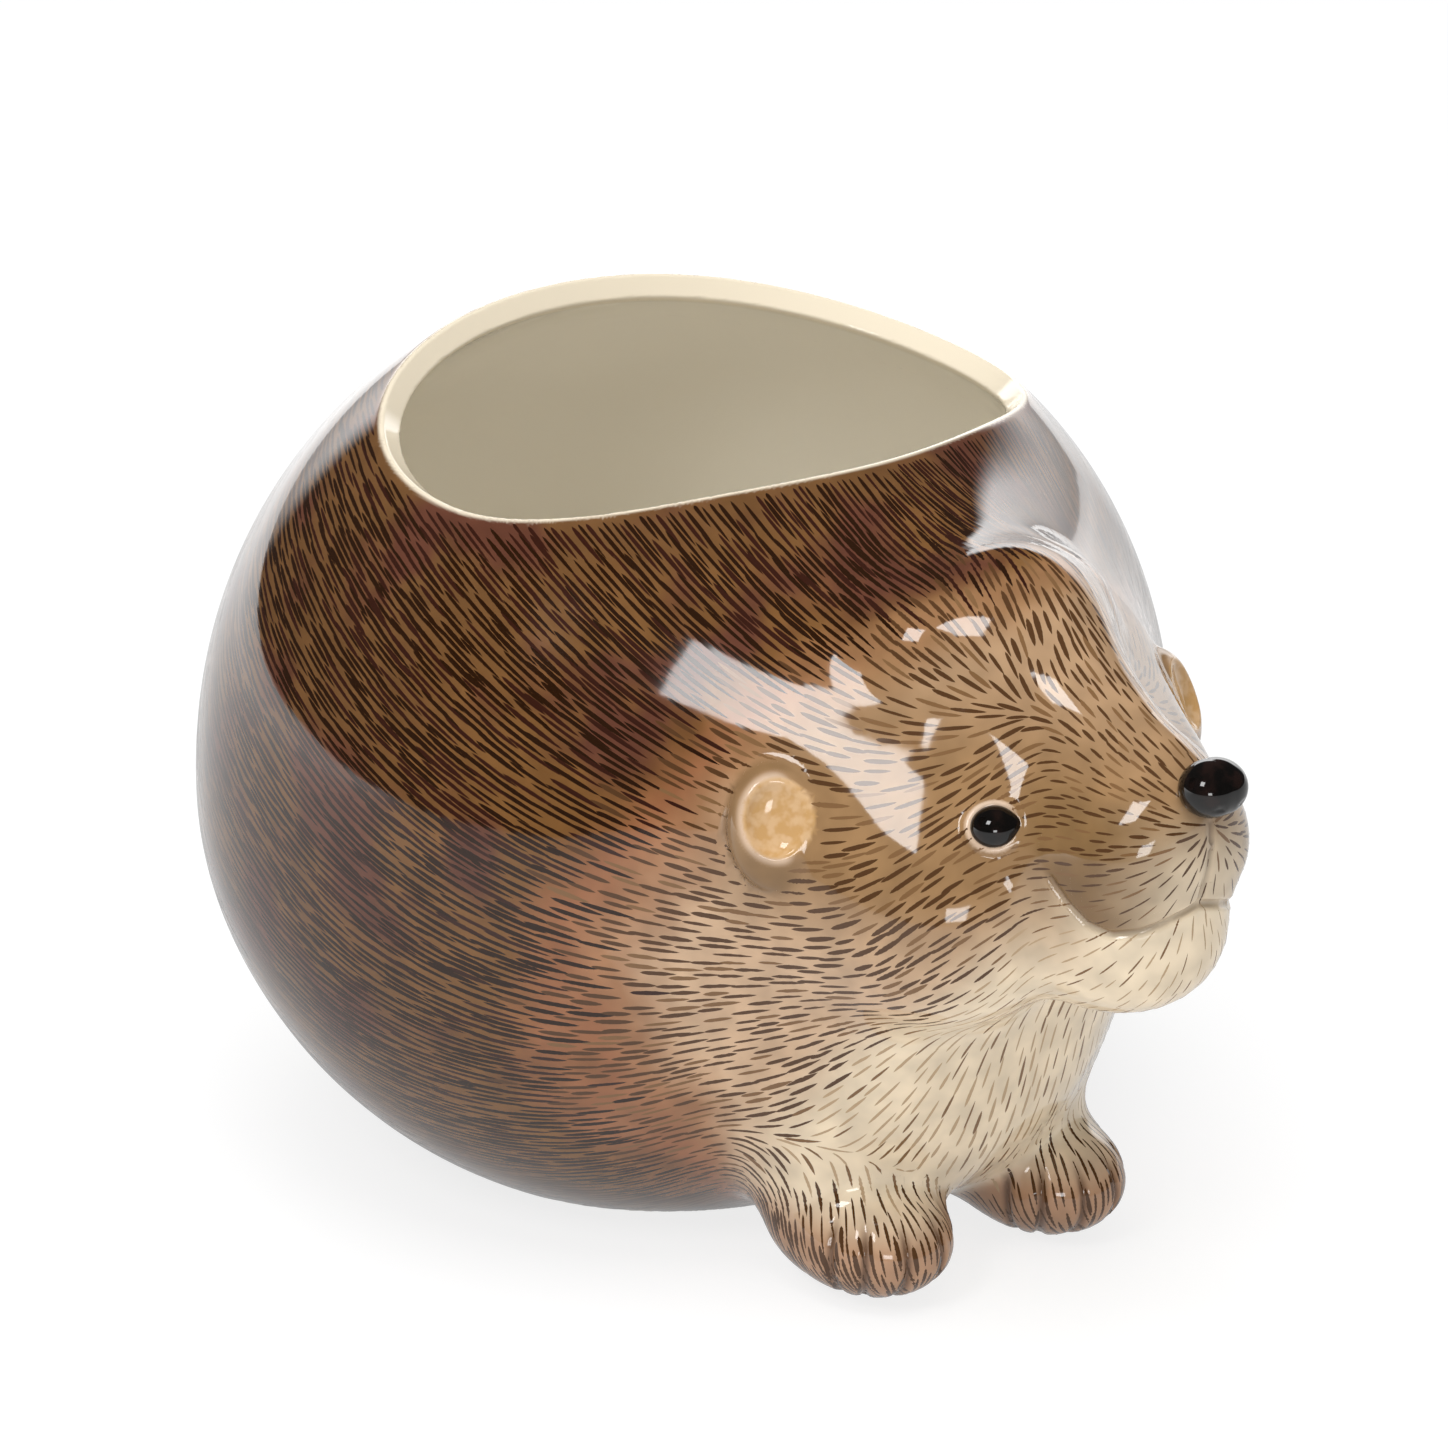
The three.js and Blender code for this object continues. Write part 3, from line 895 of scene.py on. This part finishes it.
def strokes():
    """Middle, length, width and tone of each brush stroke, spread evenly over the outside."""
    sizes = bpy.context.scene.vase_sizes
    random = np.random.default_rng(STROKE_SEED)
    points, quads, _ = moulded()
    corner = points[quads]
    area = np.linalg.norm(np.cross(corner[:, 2] - corner[:, 0], corner[:, 3] - corner[:, 1]), axis=1) / 2
    middle = corner.mean(1)
    area *= (cavity(middle) + outside(middle) > CLEAR_OF_INSIDE) & (middle[:, 2] > CLEAR_OF_FOOT)
    area *= above_rim(middle) < -CLEAR_OF_RIM
    chosen = random.choice(len(quads), CANDIDATES, p=area / area.sum())
    u, v = random.random((2, CANDIDATES, 1))
    c = corner[chosen]
    p = (c[:, 0] * (1 - u) + c[:, 1] * u) * (1 - v) + (c[:, 3] * (1 - u) + c[:, 2] * u) * v
    q = mirrored(p)
    bare = (lid(q) < CLEAR_OF_LID) | (np.linalg.norm(q - EYE_SEAT, axis=1) < LID_RADIUS)
    bare |= (ear(q) < CLEAR_OF_EAR) | (ear_scoop(q) < CLEAR_OF_SCOOP)
    bare |= ellipsoid(q, NOSE_CENTRE, NOSE_RADII) < CLEAR_OF_NOSE
    bare |= path(q, drawn_on_skin("smile")) < CLEAR_OF_MOUTH
    p = p[~bare]
    n = unit(gradient(outside, p))
    way = fur_direction(p, n)
    behind = smooth(coat_edge(p) + random.normal(0, 4, len(p)), *FUR_COAT)
    chest = smooth(chest_line(mirrored(p)), *FUR_CHEST)
    snout = smooth(-p[:, 1], *FUR_SNOUT)
    length = (sizes.face_stroke + (sizes.coat_stroke - sizes.face_stroke) * behind) / MM
    paw = smooth(foreleg(mirrored(p)), 2, 0.5) * smooth(p[:, 2], *FUR_PAW)
    length *= random.uniform(*STROKE_SPREAD, len(p)) * (1 - 0.3 * snout)
    gap = sizes.stroke_gap / MM * (1 - 0.25 * behind) * (1 + 0.6 * chest) * (1 - 0.35 * paw)
    apart = length * (0.72 - 0.17 * behind)
    tree = kdtree.KDTree(len(p))
    for k, point in enumerate(p):
        tree.insert(point, k)
    tree.balance()
    free = np.ones(len(p), bool)
    kept = []
    for k in range(len(p)):
        if not free[k]:
            continue
        kept.append(k)
        near = np.array([found[1] for found in tree.find_range(p[k], apart[k])])
        away = p[near] - p[k]
        along = away @ way[k]
        across = np.linalg.norm(away - along[:, None] * way[k], axis=1)
        free[near[(along / apart[k]) ** 2 + (across / gap[k]) ** 2 < 1]] = False
    kept = np.array(kept)
    width = sizes.stroke_width / MM * random.uniform(*STROKE_SPREAD, len(p))
    width *= 1 - 0.3 * chest - 0.3 * snout
    roll = random.random(len(p))
    tone = np.where(roll < 0.35 * behind, PLUM, np.where(behind > 0.35, UMBER, SEPIA))
    tone = np.where((behind < 0.2) & (roll > 0.75), TAN, tone)
    muzzle = (above_mouth(mirrored(p)) > 0) & (p[:, 1] < MUZZLE_REAR[1])
    tone = np.where((chest > 0.45) & ~muzzle, np.where(roll > 0.3, PALE, TAN), tone)
    tone = np.where(paw > 0.1 + 0.4 * roll, SEPIA, tone)
    return settle(outside, p[kept], 2), length[kept], width[kept], tone[kept]


def stroke_mesh(p, length, width):
    """Tapered low ridges that follow the lie of the fur, with the normals of the glaze over them."""
    half = len(STROKE_PROFILE) // 2
    relief = bpy.context.scene.vase_sizes.stroke_relief / MM
    stations = {0: p}
    for sign in (-1, 1):
        way = sign * fur_direction(p, unit(gradient(outside, p)))
        rise = above_rim(p + way * length[:, None] / 2) - above_rim(p)
        room = (STROKE_BELOW_RIM - above_rim(p)) / np.maximum(rise, 1e-6)
        step = length / (2 * half) * np.clip(room, 0.2, 1)
        at = p
        for k in range(1, half + 1):
            n = unit(gradient(outside, at))
            at = at + sign * fur_direction(at, n) * step[:, None]
            at = settle(outside, at, 1)
            stations[sign * k] = at
    points = []
    normals = []
    for k in range(-half, half + 1):
        at = stations[k]
        n = unit(gradient(outside, at))
        across = np.cross(n, fur_direction(at, n)) * (width * STROKE_PROFILE[k + half] / 2)[:, None]
        if abs(k) == half:
            row = [at - STROKE_SUNK * n]
        else:
            crest = at + n * relief * STROKE_PROFILE[k + half]
            row = [at - across - STROKE_SUNK * n, crest, at + across - STROKE_SUNK * n]
        points += row
        normals += [n] * len(row)
    each = len(points)
    first = (np.arange(len(width)) * each)[:, None]
    quads = []
    for k in range(2 * half - 2):
        base = 1 + 3 * k
        quads.append(first + np.array([base, base + 3, base + 4, base + 1]))
        quads.append(first + np.array([base + 1, base + 4, base + 5, base + 2]))
    end = each - 1
    tips = [[0, 1, 2], [0, 2, 3], [end, end - 2, end - 3], [end, end - 1, end - 2]]
    tips = [first + np.array(tip) for tip in tips]
    points = np.stack(points, axis=1).reshape(-1, 3)
    normals = np.stack(normals, axis=1).reshape(-1, 3)
    return points, normals, [np.concatenate(quads), np.concatenate(tips)]


def length_property(name, description, millimetres):
    return bpy.props.FloatProperty(
        name=name, description=description, default=millimetres * MM, min=0.0, unit="LENGTH", precision=5
    )


class VaseSizes(bpy.types.PropertyGroup):
    """Sizes of the modelled and painted details."""

    mesh_step: length_property("Mesh step", "Spacing of the points of the skin", 1.6)
    lip_round: length_property("Lip rounding", "Rounding of the edge of the mouth", 0.7)
    leg_fillet: length_property("Leg fillet", "Fillet where a foreleg meets the chest", 6.0)
    lid_width: length_property("Lid width", "Width of the clay ring round an eye", 0.9)
    mouth_groove: length_property("Mouth groove", "Width of the mouth line", 1.0)
    coat_stroke: length_property("Coat stroke", "Length of a brush stroke on the coat", 11.0)
    face_stroke: length_property("Face stroke", "Length of a brush stroke on the face", 5.8)
    stroke_width: length_property("Stroke width", "Width of a brush stroke at its middle", 0.85)
    stroke_gap: length_property("Stroke gap", "Spacing of brush strokes side by side", 1.12)
    stroke_relief: length_property("Stroke relief", "Height of a brush stroke under the glaze", 0.05)


def colour_property(name, description, hex_colour):
    default = linear(hex_colour)
    return bpy.props.FloatVectorProperty(
        name=name, description=description, default=default, size=4, min=0, max=1, subtype="COLOR"
    )


class VaseColours(bpy.types.PropertyGroup):
    """Colours of washes, brush lines and glazes."""

    face: colour_property("Face", "Olive tan wash on snout, eyes and cheek", "#967551")
    flank: colour_property("Flank", "Wash on the low cheek and flank", "#C9A98A")
    blush: colour_property("Blush", "Reddish wash before the coat", "#A07453")
    ruddy: colour_property("Ruddy", "Red brown at the edge of the coat", "#936142")
    golden: colour_property("Golden", "Golden brown of the coat", "#77522D")
    umber: colour_property("Umber", "Dark brown of the coat", "#6A4A2C")
    plum: colour_property("Plum", "Plum patches of the coat", "#5E392B")
    cream: colour_property("Cream", "Chin, chest and legs", "#E7D5B9")
    # Its brown is also painted shade round the ears
    muzzle: colour_property("Muzzle", "Brown of the muzzle and round the ears", "#7F6240")
    paw: colour_property("Paw", "Wash on the paws", "#B58E70")
    lid: colour_property("Lid", "Rings round eyes and ears", "#D6BCA4")
    # Painted shade laid into the mouth line, the furrow and the toe grooves
    line: colour_property("Line", "Colour run into creases", "#4A2F1D")
    buff: colour_property("Buff", "Inner face of the ears", "#C39A66")
    buff_pale: colour_property("Buff, pale", "Inner face of the ears where it is thin", "#D0AC82")
    inside: colour_property("Inside", "Cream slip inside", "#FAF4E6")
    # Painted light band just inside the lip, toned for how it is lit there
    inside_lit_band: colour_property("Inside, pale", "Cream slip where it is thick near the lip", "#E9DDC6")
    clay: colour_property("Clay", "Bare clay of the foot", "#CDBB9C")
    black: colour_property("Black", "Black glaze", "#0B0908")
    black_thin: colour_property("Black, thin", "Black glaze where it is thin", "#1E1310")
    brush_umber: colour_property("Brush, umber", "Dark strokes of the coat", "#281508")
    brush_plum: colour_property("Brush, plum", "Plum strokes of the coat", "#331910")
    brush_sepia: colour_property("Brush, sepia", "Strokes of face and flank", "#523721")
    brush_tan: colour_property("Brush, tan", "Thin strokes of the face", "#7B5B3C")
    brush_pale: colour_property("Brush, pale", "Faint strokes of chest and chin", "#B79C7B")


class VASE_OT_body(bpy.types.Operator):
    """Build the body with its lip, inside and foot"""

    bl_idname = "vase.body"
    bl_label = "Body"

    def execute(self, context):
        skin_piece("body_shell", 0)
        return {"FINISHED"}


class VASE_OT_head(bpy.types.Operator):
    """Build the head with its lids and mouth"""

    bl_idname = "vase.head"
    bl_label = "Head"

    def execute(self, context):
        skin_piece("head", 1)
        return {"FINISHED"}


class VASE_OT_ears(bpy.types.Operator):
    """Build the two cupped ears"""

    bl_idname = "vase.ears"
    bl_label = "Ears"

    def execute(self, context):
        for side in ("right", "left"):
            skin_piece(f"{side}_ear", 2)
        return {"FINISHED"}


class VASE_OT_forelegs(bpy.types.Operator):
    """Build the two forelegs with their toes"""

    bl_idname = "vase.forelegs"
    bl_label = "Forelegs"

    def execute(self, context):
        for side in ("right", "left"):
            skin_piece(f"{side}_foreleg", 1)
        return {"FINISHED"}


class VASE_OT_eyes(bpy.types.Operator):
    """Build the two eyes, domes with a corner toward the nose"""

    bl_idname = "vase.eyes"
    bl_label = "Eyes"

    def execute(self, context):
        def dome(p):
            globe = ellipsoid(p, np.zeros(3), EYE_RADII)
            corner = ellipsoid(p, EYE_CORNER, EYE_CORNER_RADII)
            return flow(globe, corner, FLOW_EYE_CORNER)

        glaze = black_glaze()
        points, normals, faces = cast_form(dome, EYE_CENTRE, EYE_BASIS)
        make_piece("left_eye_dome", points, faces, normals, glaze, "left_eye")
        flip = np.array([-1, 1, 1])
        points, normals = points * flip, normals * flip
        faces = [face[:, ::-1] for face in faces]
        make_piece("right_eye_dome", points, faces, normals, glaze, "right_eye")
        return {"FINISHED"}


class VASE_OT_nose(bpy.types.Operator):
    """Build the nose, a bead with two nostrils"""

    bl_idname = "vase.nose"
    bl_label = "Nose"

    def execute(self, context):
        wide, deep, high = NOSE_RADII

        def bead(p):
            q = mirrored(p)
            lobe = ellipsoid(q, np.array([0.1 * wide, 0, 0]), np.array([0.9 * wide, deep, high]))
            place = np.array([0.45 * wide, -0.93 * deep, -0.42 * high])
            return cut(lobe, -ellipsoid(q, place, NOSTRIL_RADII), FLOW_NOSTRIL)

        points, normals, faces = cast_form(bead, NOSE_CENTRE, np.eye(3), around=48, along=28)
        make_piece("nose_bead", points, faces, normals, black_glaze(), "nose")
        return {"FINISHED"}


class VASE_OT_brushwork(bpy.types.Operator):
    """Lay the painted fur on the body, the head and the forelegs"""

    bl_idname = "vase.brushwork"
    bl_label = "Brushwork"

    def execute(self, context):
        p, length, width, tone = strokes()
        leg = foreleg(mirrored(p)) < skin(p)
        head = (ahead_of_neck(p) > 0) & ~leg
        groups = (
            ("coat", "coat_glaze", ~leg & ~head),
            ("face", "face_glaze", head),
            ("foreleg", "leg_glaze", leg),
        )
        for name, slot, own in groups:
            for number, word in enumerate(TONES):
                chosen = own & (tone == number)
                if chosen.any():
                    points, normals, faces = stroke_mesh(p[chosen], length[chosen], width[chosen])
                    piece = f"{name}_brushwork_{word}"
                    make_piece(piece, points, faces, normals, brush_line(word), None)
        return {"FINISHED"}


def direction(azimuth, elevation):
    """Unit vector from the vase, azimuth from -Y toward +X, both in radians."""
    level = math.cos(elevation)
    return Vector((math.sin(azimuth) * level, -math.cos(azimuth) * level, math.sin(elevation)))


def add_lamp(name, azimuth, elevation, distance, width, height, power, mirrored_in_glaze):
    """Softbox that looks at the vase."""
    back = direction(math.radians(azimuth), math.radians(elevation))
    lamp = bpy.data.lights.new(name, "AREA")
    lamp.shape = "RECTANGLE"
    lamp.size = width
    lamp.size_y = height
    lamp.energy = power
    made = bpy.data.objects.new(name, lamp)
    made.location = CAMERA_TARGET + back * distance
    made.rotation_euler = back.to_track_quat("Z", "Y").to_euler()
    made.visible_glossy = mirrored_in_glaze
    bpy.context.scene.collection.objects.link(made)
    return back


def add_sheet(name, corners, material):
    """Flat sheet of the studio."""
    mesh = bpy.data.meshes.new(name)
    mesh.from_pydata(corners, [], [(0, 1, 2, 3)])
    mesh.materials.append(material)
    made = bpy.data.objects.new(name, mesh)
    bpy.context.scene.collection.objects.link(made)
    return made


def studio_world(away):
    """White surround for the camera, a white backdrop that the glaze mirrors, soft light all round."""
    world = bpy.data.worlds.new("Studio")
    bpy.context.scene.world = world
    world.use_nodes = True
    tree = world.node_tree
    tree.nodes.clear()
    rays = node(tree, "ShaderNodeLightPath").outputs
    ray = node(tree, "ShaderNodeTexCoord").outputs["Generated"]
    toward = node(tree, "ShaderNodeVectorMath", ALONG, i0=ray, i1=away)
    up = node(tree, "ShaderNodeSeparateXYZ", i0=ray).outputs[2]
    white = node(tree, RANGE, i0=up, i1=0.0, i2=BACKDROP_RISE, i3=BACKDROP_FOOT, i4=BACKDROP)
    low, high = BACKDROP_TOP
    white = node(tree, RANGE, SOFT_STEP, i0=up, i1=low, i2=high, i3=white, i4=DARK_ROOM)
    low, high = BACKDROP_EDGE
    white = node(tree, RANGE, SOFT_STEP, i0=toward, i1=low, i2=high, i3=DARK_ROOM, i4=white)
    clear = node(tree, MATH, LARGER, i0=rays["Is Camera Ray"], i1=rays["Is Transmission Ray"])
    level = node(tree, MIX, VALUE_MIX, i0=rays["Is Glossy Ray"], i2=AMBIENT, i3=white)
    level = node(tree, MIX, VALUE_MIX, i0=clear, i2=level, i3=1.0)
    light = node(tree, "ShaderNodeBackground", Strength=level)
    node(tree, "ShaderNodeOutputWorld", Surface=light)


def white_paper(away):
    """White paper sweep, matt: it glows white to the camera and still takes the soft shadow of the vase.

    Its glow is painted brighter behind the vase and to its left, so the glaze mirrors more of it there.
    """
    material, tree = new_material("White paper sweep, matt")
    rays = node(tree, "ShaderNodeLightPath").outputs
    place = node(tree, "ShaderNodeTexCoord").outputs["Object"]
    fibre = node(tree, "ShaderNodeTexNoise", Vector=place, Scale=1 / (PAPER_FIBRE * MM), Detail=2.0)
    low, high = PAPER_WHITE
    white = node(tree, RANGE, i0=fibre, i3=low, i4=high)
    paper = node(tree, "ShaderNodeBsdfDiffuse", Color=white)
    shaded = node(tree, "ShaderNodeBsdfDiffuse", Color=linear("#898989"))
    lit = away + PAPER_LEFTWARD * Vector((0, 0, 1)).cross(away)
    toward = node(tree, "ShaderNodeVectorMath", ALONG, i0=place, i1=lit)
    near, far = PAPER_GLOW_TOWARD
    behind = node(tree, RANGE, i0=toward, i1=near, i2=far, i3=PAPER_DIM, i4=PAPER_BRIGHT)
    # Painted glow: the glaze mirrors it brighter behind the vase and to its left, the camera sees it even
    level = node(tree, MIX, VALUE_MIX, i0=rays["Is Glossy Ray"], i2=PAPER_GLOW, i3=behind)
    glow = node(tree, "ShaderNodeEmission", Strength=level)
    seen = node(tree, "ShaderNodeAddShader", i0=shaded, i1=glow)
    clear = node(tree, MATH, LARGER, i0=rays["Is Camera Ray"], i1=rays["Is Glossy Ray"])
    shader = node(tree, "ShaderNodeMixShader", i0=clear, i1=paper, i2=seen)
    node(tree, "ShaderNodeOutputMaterial", Surface=shader)
    return material


def black_card():
    """Black card, matt: it keeps one lamp out of the glaze on the shoulder and shows nowhere else."""
    material, tree = new_material("Black card, matt")
    shader = node(tree, "ShaderNodeBsdfDiffuse", Color=linear("#303030"))
    node(tree, "ShaderNodeOutputMaterial", Surface=shader)
    return material


class VASE_OT_stage(bpy.types.Operator):
    """Set the floor, the lamps and the camera"""

    bl_idname = "vase.stage"
    bl_label = "Stage"

    def execute(self, context):
        scene = context.scene
        scene.view_settings.view_transform = "Standard"
        half, below = PAPER_HALF, -PAPER_DROP * MM
        corners = [(x * half, y * half, below) for x, y in ((-1, -1), (1, -1), (1, 1), (-1, 1))]
        away = -direction(CAMERA_AZIMUTH, 0)
        add_sheet("paper_sweep", corners, white_paper(away))

        back = direction(CAMERA_AZIMUTH, CAMERA_ELEVATION)
        camera = bpy.data.objects.new("camera", bpy.data.cameras.new("camera"))
        camera.data.sensor_width = SENSOR
        camera.data.lens = SENSOR * CAMERA_FOCUS_PIXELS / IMAGE_SIDE
        camera.data.shift_y = CAMERA_DROP_PIXELS / IMAGE_SIDE
        camera.location = CAMERA_TARGET + back * CAMERA_DISTANCE
        camera.rotation_euler = back.to_track_quat("Z", "Y").to_euler()
        scene.collection.objects.link(camera)
        scene.camera = camera

        studio_world(away)
        toward_lamp = {name: add_lamp(name, *settings) for name, settings in LAMPS.items()}
        window = toward_lamp["window_softbox"]
        across = window.cross(FLAG_TOWARD) * FLAG_SIDE / 2
        edge = FLAG_BESIDE + window * FLAG_OFF
        far = edge + FLAG_TOWARD * FLAG_SIDE
        corners = [edge - across, edge + across, far + across, far - across]
        card = add_sheet("flag_card", corners, black_card())
        card.visible_camera = False
        card.visible_diffuse = False
        card.visible_shadow = False
        card.visible_transmission = False
        return {"FINISHED"}


class VASE_PT_panel(bpy.types.Panel):
    """Lists the pieces of the vase and what can be changed"""

    bl_idname = "VASE_PT_panel"
    bl_label = "Hedgehog vase"
    bl_space_type = "VIEW_3D"
    bl_region_type = "UI"
    bl_category = "Vase"

    def draw(self, context):
        column = self.layout.column()
        for operator in OPERATORS:
            column.operator(operator.bl_idname)
        for group in (context.scene.vase_sizes, context.scene.vase_colours):
            box = self.layout.box()
            for key in group.__annotations__:
                box.prop(group, key)


OPERATORS = (
    VASE_OT_body,
    VASE_OT_head,
    VASE_OT_ears,
    VASE_OT_forelegs,
    VASE_OT_eyes,
    VASE_OT_nose,
    VASE_OT_brushwork,
    VASE_OT_stage,
)
CLASSES = (VaseSizes, VaseColours, *OPERATORS, VASE_PT_panel)


def register():
    for made in CLASSES:
        bpy.utils.register_class(made)
    bpy.types.Scene.vase_sizes = bpy.props.PointerProperty(type=VaseSizes)
    bpy.types.Scene.vase_colours = bpy.props.PointerProperty(type=VaseColours)


def unregister():
    del bpy.types.Scene.vase_sizes
    del bpy.types.Scene.vase_colours
    for made in reversed(CLASSES):
        bpy.utils.unregister_class(made)


def main():
    register()
    bpy.ops.vase.body()
    bpy.ops.vase.head()
    bpy.ops.vase.ears()
    bpy.ops.vase.forelegs()
    bpy.ops.vase.eyes()
    bpy.ops.vase.nose()
    bpy.ops.vase.brushwork()
    bpy.ops.vase.stage()


if __name__ == "__main__":
    main()
